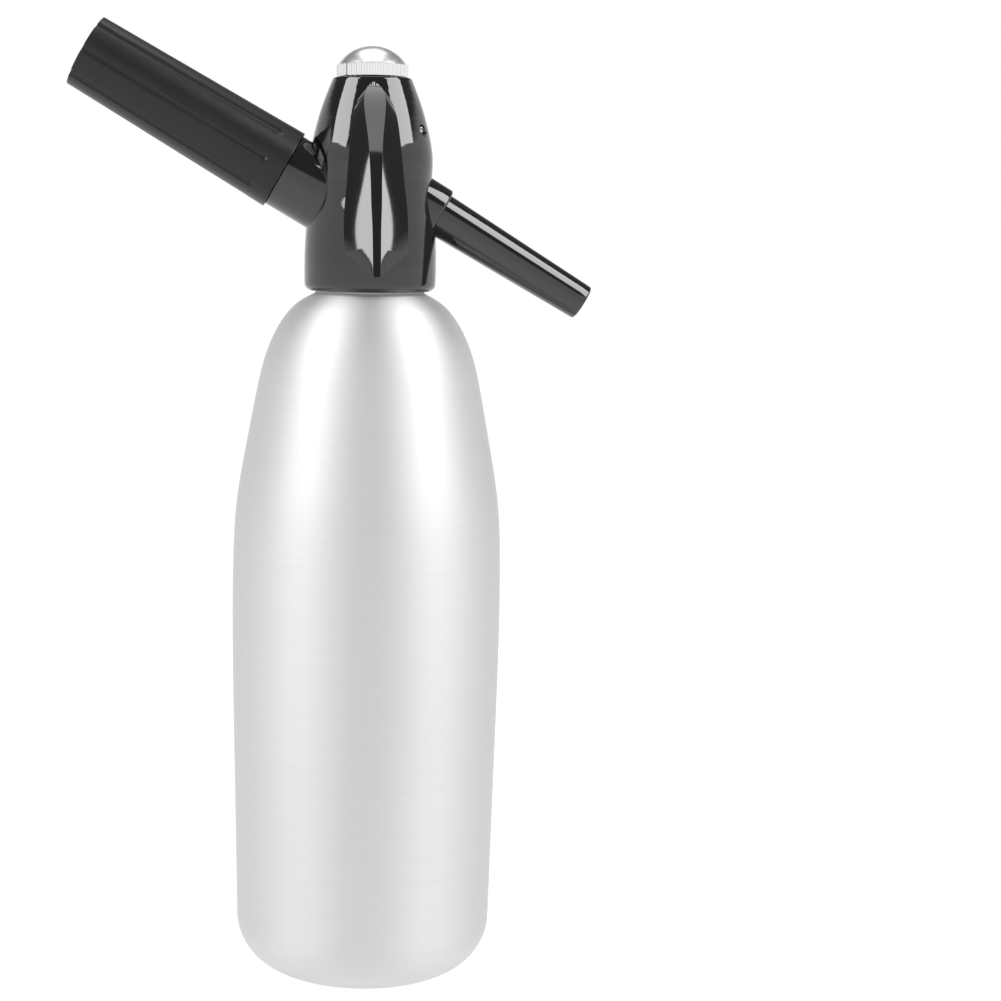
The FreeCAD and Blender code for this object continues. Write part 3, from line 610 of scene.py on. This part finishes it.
def make_boss():
    outline = [(BOSS_BORE, BOSS_START), (BOSS_RADIUS, BOSS_START)]
    outline += arc((BOSS_RADIUS - BOSS_EDGE, BOSS_END - BOSS_EDGE), BOSS_EDGE, 0, 90, 5)
    outline += [(BOSS_BORE, BOSS_END)]
    boss = lathe("holder_boss", outline, 128, closed=True)
    place(boss, HOLDER_TURN)
    face_outwards(boss)
    return boss


def make_spout():
    slope = (SPOUT_END_RADIUS - SPOUT_ROOT_RADIUS) / (SPOUT_END - SPOUT_START)
    outline = [(SPOUT_BORE, SPOUT_START)]
    for t in np.linspace(SPOUT_START, SPOUT_END - SPOUT_LIP, 30):
        outline.append((SPOUT_ROOT_RADIUS + slope * (t - SPOUT_START), t))
    outline += arc((SPOUT_END_RADIUS - SPOUT_LIP, SPOUT_END - SPOUT_LIP), SPOUT_LIP, 8, 90, 6)
    lip = SPOUT_BORE_EDGE
    outline += arc((SPOUT_BORE + lip, SPOUT_END - lip), lip, 90, 180, 5)
    spout = lathe("spout", outline, 96, closed=True)
    place(spout, SPOUT_TURN)
    face_outwards(spout)
    return spout


def make_collar():
    outline = [(COLLAR_BORE, COLLAR_START), (COLLAR_RADIUS, COLLAR_START)]
    outline += arc((COLLAR_RADIUS - COLLAR_ROUND, COLLAR_END - COLLAR_ROUND), COLLAR_ROUND, 0, 90, 7)
    outline += [(COLLAR_BORE, COLLAR_END)]
    collar = lathe("spout_root_collar", outline, 96, closed=True)
    place(collar, SPOUT_TURN)
    face_outwards(collar)
    return collar


boss = make_boss()
cut_with(head, boss, "UNION")
dress(head, "head", BLACK_HEAD, ["head_shell"])
dress(make_spout(), "head", BLACK_GLOSS, ["spout_tube"])
dress(make_collar(), "head", BLACK_GLOSS, ["spout_collar"])

# %% [markdown]
# The lever is a leaf-shaped blade: a narrow strip runs down its front, and two
# facets fall back from it to the edges. Each station below gives the front and
# back of the blade and its widths; the spline makes sixty sections of them. Two
# cuts give the foot its point, and an arm joins the blade to the pin.

# %% The lever
LEVER_STATIONS = [
    # front y, front z, back y, back z, half width, half width of the front strip
    (-15.4, 307.7, -14.7, 306.9, 1.0, 0.5),
    (-20.8, 304.7, -17.4, 300.9, 4.8, 2.9),
    (-26.5, 300.2, -22.0, 295.7, 6.9, 3.6),
    (-32.5, 293.4, -27.4, 289.9, 7.9, 3.0),
    (-38.4, 286.7, -32.8, 282.9, 8.5, 2.3),
    (-43.5, 280.3, -36.9, 276.4, 9.0, 2.0),
    (-48.1, 273.8, -40.4, 269.0, 9.6, 1.8),
    (-52.3, 266.8, -43.2, 262.2, 10.2, 1.7),
    (-56.2, 259.8, -46.0, 255.0, 10.3, 1.4),
    (-59.7, 252.2, -48.4, 247.8, 10.0, 1.3),
    (-62.6, 244.4, -50.6, 240.5, 9.5, 1.2),
    (-65.0, 236.6, -52.6, 233.1, 8.8, 1.2),
]
BACK_LIP = 0.58
BACK_TAPER = 0.86
LEVER_TIP = (-62.7, 244.0)
TIP_CLIMB = 0.336
POINT_SLOPE = 0.44
ARM_HALF_WIDTH = 3.7
HUB_RADIUS = 4.4
PIN_RADIUS = 1.4
FINGER_TOP = 293.4
FINGER_THICKNESS = 2.8
FINGER_REACH = 1.0
STEM_NOTCH = 2.3
BLADE_SECTIONS = 61
BLADE_EDGE = 0.55
ARM_EDGE = 0.35
ARM_OUTLINE = [
    (-24.0, 297.0), (-17.0, 299.2), (PIN_Y, PIN_Z + HUB_RADIUS), (PIN_Y, PIN_Z - HUB_RADIUS),
    (-18.2, 289.2), (-22.5, 290.5), (-26.0, 290.2), (-29.5, 287.6), (-31.0, 288.5),
]


def make_blade():
    vertices, faces = [], []
    sections = smooth(LEVER_STATIONS, BLADE_SECTIONS)
    for front_y, front_z, back_y, back_z, half, strip in sections:
        lip_y = front_y + (back_y - front_y) * BACK_LIP
        lip_z = front_z + (back_z - front_z) * BACK_LIP
        vertices += [
            (-strip, front_y, front_z), (strip, front_y, front_z), (half, lip_y, lip_z),
            (half * BACK_TAPER, back_y, back_z), (-half * BACK_TAPER, back_y, back_z),
            (-half, lip_y, lip_z),
        ]
    for i in range(len(sections) - 1):
        for k in range(6):
            n = (k + 1) % 6
            faces.append((i * 6 + k, i * 6 + n, i * 6 + 6 + n, i * 6 + 6 + k))
    last = (len(sections) - 1) * 6
    faces += [tuple(range(6)), tuple(range(last, last + 6))]
    blade = to_object("lever_handle", vertices, faces)
    face_outwards(blade)
    cut_point(blade)
    bevel(blade, BLADE_EDGE, 24.0, 4)
    return blade


def cut_point(blade):
    """Slice the blade's foot along two planes that meet at its tip."""
    work = bmesh.new()
    work.from_mesh(blade.data)
    point = Vector((0, LEVER_TIP[0] * MM, LEVER_TIP[1] * MM))
    for side in (-POINT_SLOPE, POINT_SLOPE):
        below = Vector((side, TIP_CLIMB, -1)).normalized()
        everything = work.verts[:] + work.edges[:] + work.faces[:]
        bmesh.ops.bisect_plane(work, geom=everything, plane_co=point, plane_no=below, clear_outer=True)
        bmesh.ops.holes_fill(work, edges=[e for e in work.edges if e.is_boundary])
    bmesh.ops.recalc_face_normals(work, faces=work.faces)
    work.to_mesh(blade.data)
    work.free()


def plate(name, points, half_width):
    """A flat outline in the YZ plane, thickened along X."""
    count = len(points)
    vertices = [(-half_width, y, z) for y, z in points] + [(half_width, y, z) for y, z in points]
    faces = [tuple(range(count)), tuple(range(count, 2 * count))]
    faces += [(k, (k + 1) % count, count + (k + 1) % count, count + k) for k in range(count)]
    made = to_object(name, vertices, faces)
    face_outwards(made)
    return made


def make_lever():
    lever = make_blade()
    arm = plate("arm", ARM_OUTLINE, ARM_HALF_WIDTH)
    bevel(arm, ARM_EDGE, 50.0, 3)
    cut_with(lever, arm, "UNION")
    cut_with(lever, rod_along_x("hub", HUB_RADIUS, -ARM_HALF_WIDTH, ARM_HALF_WIDTH, 64), "UNION")
    low = FINGER_TOP - FINGER_THICKNESS
    finger = [(PIN_Y, low), (FINGER_REACH, low), (FINGER_REACH, FINGER_TOP), (PIN_Y, FINGER_TOP)]
    cut_with(lever, plate("finger", finger, ARM_HALF_WIDTH - 0.02), "UNION")
    notch = [(-STEM_NOTCH, 280.0), (6.0, 280.0), (6.0, 300.0), (-STEM_NOTCH, 300.0)]
    cut_with(lever, plate("notch", notch, STEM_NOTCH))
    cut_with(lever, rod_along_x("bore", PIN_RADIUS, -10.0, 10.0))
    return lever


dress(make_lever(), "lever_arm", BLACK_GLOSS, ["lever"], 30.0)

# %% [markdown]
# The grip's flutes follow a rule, so Geometry Nodes can write the whole skin: a
# grid is rolled up into a taper, and wherever a point lies inside a flute its
# radius shrinks. Each flute's section is a shallow bowl, and the same formula
# measures the distance past the flute's end, which rounds it off.

# %% Geometry Nodes helpers
def new_tree(name, inputs):
    tree = bpy.data.node_groups.new(name, "GeometryNodeTree")
    tree.interface.new_socket("Geometry", in_out="OUTPUT", socket_type="NodeSocketGeometry")
    tree.interface.new_socket("Geometry", in_out="INPUT", socket_type="NodeSocketGeometry")
    for label, kind in inputs:
        tree.interface.new_socket(label, in_out="INPUT", socket_type=kind)
    kit = Nodes(tree)
    return tree, kit, kit.add("NodeGroupInput"), kit.add("NodeGroupOutput")


def run_tree(piece, tree, values):
    """Give a piece the tree with the given inputs, then keep only its result."""
    step = piece.modifiers.new("build", "NODES")
    step.node_group = tree
    for item in tree.interface.items_tree:
        if item.in_out == "INPUT" and item.name in values:
            step[item.identifier] = values[item.name]
    settle(piece)


def close_tree(kit, geometry, finish, out):
    """End a tree: real geometry, one material."""
    real = kit.add("GeometryNodeRealizeInstances", Geometry=geometry)
    paint = kit.add("GeometryNodeSetMaterial", Geometry=kit.value(real), Material=finish)
    kit.tree.links.new(paint.outputs[0], out.inputs[0])

# %% The fluted grip
GRIP_START = 34.3
GRIP_LENGTH = 77.4
GRIP_OPEN_RADIUS = 14.05
GRIP_CLOSED_RADIUS = 12.75
GRIP_BORE = 11.85
FLUTE_COUNT = 8
FLUTE_HALF_WIDTH = 1.45
FLUTE_DEPTH = 0.75
FLUTE_STOP = 6.5
FLUTE_SOFTNESS = 0.55
GRIP_COLUMNS = FLUTE_COUNT * 56
GRIP_ROWS = 150
GRIP_BORE_END = GRIP_START + 13.0
GRIP_EDGE = 0.3
END_INSETS = (0.35, 0.9, 1.6, 6.0, 12.0)
MOUTH_INSETS = (0.35, GRIP_OPEN_RADIUS - GRIP_BORE)
GRIP_INPUTS = {
    "Start": GRIP_START * MM,
    "Length": GRIP_LENGTH * MM,
    "Open radius": GRIP_OPEN_RADIUS * MM,
    "Closed radius": GRIP_CLOSED_RADIUS * MM,
    "Flutes": float(FLUTE_COUNT),
    "Half width": FLUTE_HALF_WIDTH * MM,
    "Depth": FLUTE_DEPTH * MM,
    "Stop": FLUTE_STOP * MM,
}


def fluted_tree(finish):
    sockets = [(label, "NodeSocketFloat") for label in GRIP_INPUTS]
    tree, kit, given, out = new_tree("fluted_grip", sockets)
    value = {label: kit.value(given, label) for label in GRIP_INPUTS}
    grid = kit.add(
        "GeometryNodeMeshGrid", Size_X=1.0, Size_Y=1.0, Vertices_X=GRIP_COLUMNS + 1, Vertices_Y=GRIP_ROWS
    )
    spot = kit.add("ShaderNodeSeparateXYZ", Vector=kit.value(kit.add("GeometryNodeInputPosition")))
    around = kit.value(spot, "X") + 0.5
    along = (kit.value(spot, "Y") + 0.5) * value["Length"]
    taper = value["Closed radius"] - value["Open radius"]
    radius = value["Open radius"] + taper * along / value["Length"]
    turn = around * (2 * math.pi)
    flute = (around * value["Flutes"] + 0.5).math("FRACT") - 0.5
    sideways = flute / value["Flutes"] * (2 * math.pi) * radius
    past = (value["Stop"] + value["Half width"] - along).math("MAXIMUM", 0.0)
    far = (sideways * sideways + past * past) / (value["Half width"] * value["Half width"])
    bowl = (1.0 - far).math("MAXIMUM", 0.0)
    sunk = radius - value["Depth"] * bowl.math("POWER", FLUTE_SOFTNESS)
    height = value["Start"] + along
    point = combine(kit, sunk * turn.math("COSINE"), sunk * turn.math("SINE"), height)
    rolled = kit.add("GeometryNodeSetPosition", Geometry=kit.value(grid, "Mesh"), Position=point)
    joined = kit.add("GeometryNodeMergeByDistance", Geometry=kit.value(rolled), Distance=1e-6)
    close_tree(kit, kit.value(joined), finish, out)
    return tree


def extruded(work, loop):
    """Extrude a loop of edges in place; gives the new edges and the new points."""
    new = bmesh.ops.extrude_edge_only(work, edges=loop)["geom"]
    edges = [item for item in new if isinstance(item, bmesh.types.BMEdge)]
    return edges, [item for item in new if isinstance(item, bmesh.types.BMVert)]


def draw_in(work, end, insets):
    """Draw the skin's open end at this height inwards, one ring for each inset."""
    loop = [e for e in work.edges if e.is_boundary and all(abs(v.co.z - end) < 1e-7 for v in e.verts)]
    before = 0.0
    for inset in insets:
        loop, points = extruded(work, loop)
        for v in points:
            across = Vector((v.co.x, v.co.y, 0))
            size = max(0.0, across.length - (inset - before) * MM)
            v.co.x, v.co.y = (across.normalized() * size)[:2]
            v.co.z = end
        before = inset
    return loop


def make_grip():
    grip = to_object("holder_fluted_grip", [], [])
    run_tree(grip, fluted_tree(BLACK_SATIN), GRIP_INPUTS)
    work = bmesh.new()
    work.from_mesh(grip.data)
    far = max(v.co.z for v in work.verts)
    near = min(v.co.z for v in work.verts)
    bmesh.ops.holes_fill(work, edges=draw_in(work, far, END_INSETS))
    floor, points = extruded(work, draw_in(work, near, MOUTH_INSETS))
    for v in points:
        v.co.z = GRIP_BORE_END * MM
    bmesh.ops.holes_fill(work, edges=floor)
    bmesh.ops.recalc_face_normals(work, faces=work.faces)
    work.to_mesh(grip.data)
    work.free()
    bevel(grip, GRIP_EDGE, 60.0, 2)
    place(grip, HOLDER_TURN)
    return grip


dress(make_grip(), "holder", BLACK_SATIN, ["holder_grip"], 40.0)

# %% [markdown]
# The cap's knurling is forty rounded ribs on a ring. Geometry Nodes place one rib
# on each point of a circle, turn it to face outwards, and join the lot to the
# plain ring that comes in as the tree's own geometry.

# %% The knurled cap and its dome
CAP_BOTTOM = 310.3
CAP_TOP = 314.3
CAP_RADIUS = 12.2
CAP_BORE = 5.6
CAP_NECK_RADIUS = 8.6
CAP_NECK_DEPTH = 2.6
RIB_COUNT = 40
RIB_RADIUS = 0.62
RIB_SIDES = 14
RIB_INSET = 0.15
RING_EDGE = 0.25
RING_RADIUS = CAP_RADIUS - 0.45
RING_FOOT = CAP_BOTTOM - 0.2
DOME_RADIUS = 11.7
DOME_HEIGHT = 6.3
KNURL_INPUTS = {
    "Count": RIB_COUNT,
    "Radius": (CAP_RADIUS - RIB_RADIUS) * MM,
    "Rib radius": RIB_RADIUS * MM,
    "Low": (CAP_BOTTOM + RIB_INSET) * MM,
    "High": (CAP_TOP - RIB_INSET) * MM,
}


def knurl_tree(finish):
    sockets = [(label, "NodeSocketInt" if label == "Count" else "NodeSocketFloat") for label in KNURL_INPUTS]
    tree, kit, given, out = new_tree("knurled_ring", sockets)
    count, radius, rib_radius, low, high = [kit.value(given, label) for label in KNURL_INPUTS]
    circle = kit.add("GeometryNodeMeshCircle", Vertices=count, Radius=radius)
    rib = kit.add("GeometryNodeMeshCylinder", Vertices=RIB_SIDES, Radius=rib_radius, Depth=high - low)
    middle = combine(kit, 0.0, 0.0, (low + high) * 0.5)
    lift = kit.add("GeometryNodeSetPosition", Geometry=kit.value(circle), Offset=middle)
    turn = kit.value(kit.add("GeometryNodeInputIndex")) * (2 * math.pi) / count
    ribs = kit.add(
        "GeometryNodeInstanceOnPoints", Points=kit.value(lift), Instance=kit.value(rib, "Mesh"),
        Rotation=combine(kit, 0.0, 0.0, turn),
    )
    both = kit.add("GeometryNodeJoinGeometry")
    tree.links.new(ribs.outputs[0], both.inputs[0])
    tree.links.new(given.outputs["Geometry"], both.inputs[0])
    close_tree(kit, kit.value(both), finish, out)
    return tree


def make_cap():
    outline = [(CAP_BORE, HEAD_TOP - CAP_NECK_DEPTH), (CAP_NECK_RADIUS, HEAD_TOP - CAP_NECK_DEPTH)]
    outline += [(CAP_NECK_RADIUS, RING_FOOT), (RING_RADIUS - RING_EDGE, RING_FOOT), (RING_RADIUS, CAP_BOTTOM)]
    outline += [(RING_RADIUS, CAP_TOP - RING_EDGE), (RING_RADIUS - RING_EDGE, CAP_TOP), (CAP_BORE, CAP_TOP)]
    ring = lathe("cap_knurled_ring", outline, 160, closed=True)
    run_tree(ring, knurl_tree(CHROME), KNURL_INPUTS)
    face_outwards(ring)
    return ring


def make_dome():
    ball = (DOME_RADIUS ** 2 + DOME_HEIGHT ** 2) / (2 * DOME_HEIGHT)
    centre = CAP_TOP + DOME_HEIGHT - ball
    start = math.degrees(math.asin((CAP_TOP - centre) / ball))
    outline = [(0.0, CAP_TOP)] + arc((0.0, centre), ball, start, 90, 28)[:-1] + [(0.0, centre + ball)]
    dome = lathe("cap_dome_shell", outline, 128)
    face_outwards(dome)
    return dome


dress(make_cap(), "cap", CHROME, ["knurled_cap"], 40.0)
dress(make_dome(), "cap", DOME_CHROME, ["cap_dome"])

# %% [markdown]
# The working parts inside keep their own shapes from the frame and only get a
# finish: turned metals, seals and mouldings.

# %% Finishes for the parts that stay
FINISHES = {
    "seal_rubber": RUBBER, "brass": BRASS, "grey_plastic": ACETAL, "steel": STEEL,
    "clear_white": NATURAL_TUBE, "brushed_aluminium": brushed_aluminium("sleeve_aluminium", 0.74),
    "chrome": CHROME, "black_gloss": BLACK_GLOSS, "black_satin": BLACK_SATIN,
}
for part in frame["record"]["subparts"]:
    node = frame["nodes"][part["node"]]
    if not node.hide_render:
        for holder in node.material_slots:
            holder.material = FINISHES[part["material_slot"]]

# %% [markdown]
# The studio is plain: a white floor, two softboxes that draw the two light bands
# down the black head, and a soft lamp above. The camera sees a white surround.
# Reflections see it pale near the horizon and dim overhead, as under the dark
# ceiling of a room, which keeps the black plastic black between the bands. The
# floor glows a little where it is seen, so that it meets the background, and
# keeps a faint shadow.

# %% Studio
FLOOR_SIZE = 60.0
WORLD_LIGHT = 0.60
WORLD_HORIZON = 0.95
WORLD_CEILING = 0.16
CEILING_STARTS = 0.33
CEILING_BLEND = 0.09
FLOOR_TONE = 0.86
FLOOR_GLOW = 1.12
FLOOR_GLOW_SHARE = 0.84
LAMP_TARGET = Vector((0, 0, 0.28))
SOFTBOX_ANGLE = 66.0
SOFTBOX_RISE = 38.0
SOFTBOX_RADIANCE = 6.4


def make_floor():
    half = FLOOR_SIZE / 2
    mesh = bpy.data.meshes.new("floor")
    corners = [(-half, -half, 0), (half, -half, 0), (half, half, 0), (-half, half, 0)]
    mesh.from_pydata(corners, [], [(0, 1, 2, 3)])
    floor = bpy.data.objects.new("floor", mesh)
    bpy.context.scene.collection.objects.link(floor)
    material = bpy.data.materials.new("floor_white")
    material.use_nodes = True
    tree = material.node_tree
    shader = tree.nodes["Principled BSDF"]
    shader.inputs["Base Color"].default_value = (FLOOR_TONE, FLOOR_TONE, FLOOR_TONE, 1)
    shader.inputs["Roughness"].default_value = 0.9
    kit = Nodes(tree)
    ray = kit.add("ShaderNodeLightPath")
    bright = kit.add("ShaderNodeEmission", Color=(1, 1, 1, 1), Strength=FLOOR_GLOW)
    seen = kit.value(ray, "Is Camera Ray").math("MAXIMUM", kit.value(ray, "Is Glossy Ray"))
    seen = seen.math("MAXIMUM", kit.value(ray, "Is Transmission Ray"))
    mix = kit.add("ShaderNodeMixShader")
    tree.links.new((seen * FLOOR_GLOW_SHARE).socket, mix.inputs[0])
    tree.links.new(shader.outputs[0], mix.inputs[1])
    tree.links.new(bright.outputs[0], mix.inputs[2])
    tree.links.new(mix.outputs[0], tree.nodes["Material Output"].inputs[0])
    mesh.materials.append(material)


def make_world():
    world = bpy.data.worlds.new("studio")
    bpy.context.scene.world = world
    world.use_nodes = True
    kit = Nodes(world.node_tree)
    ray = kit.add("ShaderNodeLightPath")
    camera = kit.value(ray, "Is Camera Ray")
    glossy = kit.value(ray, "Is Glossy Ray").math("MAXIMUM", kit.value(ray, "Is Transmission Ray"))
    sight = kit.value(kit.add("ShaderNodeTexCoord"), "Generated")
    toward = kit.add("ShaderNodeSeparateXYZ", Vector=sight)
    high = ((kit.value(toward, "Z") - CEILING_STARTS) / CEILING_BLEND).math("ADD", 0.0, clamp=True)
    reflected = WORLD_HORIZON + high * (WORLD_CEILING - WORLD_HORIZON)
    strength = WORLD_LIGHT * (1.0 - glossy) + reflected * glossy
    strength = strength * (1.0 - camera) + camera
    back = world.node_tree.nodes["Background"]
    back.inputs["Color"].default_value = (1, 1, 1, 1)
    world.node_tree.links.new(strength.socket, back.inputs["Strength"])


def softbox(name, azimuth, elevation, width, tall, radiance, distance=1.1):
    """A flat lamp facing the siphon's head; angles in degrees, azimuth 0 is the camera's side."""
    data = bpy.data.lights.new(name, "AREA")
    data.shape = "RECTANGLE"
    data.size = width
    data.size_y = tall
    data.energy = radiance * math.pi * width * tall
    lamp = bpy.data.objects.new(name, data)
    bpy.context.scene.collection.objects.link(lamp)
    angle, rise = math.radians(azimuth) - math.pi / 2, math.radians(elevation)
    level = distance * math.cos(rise)
    away = Vector((level * math.cos(angle), level * math.sin(angle), distance * math.sin(rise)))
    lamp.location = away + LAMP_TARGET
    lamp.rotation_euler = (-away).to_track_quat("-Z", "Y").to_euler()


make_floor()
make_world()
softbox("softbox_left", -SOFTBOX_ANGLE, SOFTBOX_RISE, 0.62, 0.66, SOFTBOX_RADIANCE)
softbox("softbox_right", SOFTBOX_ANGLE, SOFTBOX_RISE, 0.70, 0.66, SOFTBOX_RADIANCE)
softbox("softbox_top", 180.0, 78.0, 0.75, 1.0, 1.7)

# %% [markdown]
# The photograph looks slightly down at the siphon, which stands left of the
# middle. A sideways lens shift puts it there and keeps the perspective that the
# rims show. The lever points a little to the right of the camera, so the camera
# is turned around the bottle's axis, and the picture leans by under a degree.

# %% Camera
CAMERA_DISTANCE = 0.700
CAMERA_HEIGHT = 0.259
CAMERA_TURN = -2.0
CAMERA_PITCH = 7.6
CAMERA_ROLL = 0.7
PHOTO_WIDTH = 1001
FOCAL_PIXELS = 2028.0
AXIS_PIXEL = 367.3
SENSOR_WIDTH = 36.0
camera_data = bpy.data.cameras.new("camera")
camera_data.sensor_width = SENSOR_WIDTH
camera_data.lens = FOCAL_PIXELS / PHOTO_WIDTH * camera_data.sensor_width
camera_data.shift_x = (PHOTO_WIDTH / 2 - AXIS_PIXEL) / PHOTO_WIDTH
camera_data.clip_start = 0.01
camera = bpy.data.objects.new("camera", camera_data)
bpy.context.scene.collection.objects.link(camera)
tilt = Matrix.Rotation(math.radians(90 - CAMERA_PITCH), 4, "X")
lean = Matrix.Rotation(math.radians(CAMERA_ROLL), 4, "Z")
around = Matrix.Rotation(math.radians(CAMERA_TURN), 4, "Z")
camera.matrix_world = around @ Matrix.Translation((0.0, -CAMERA_DISTANCE, CAMERA_HEIGHT)) @ tilt @ lean
bpy.context.scene.camera = camera
bpy.context.scene.view_settings.view_transform = "Standard"
print("camera at", [round(c, 4) for c in camera.matrix_world.translation])
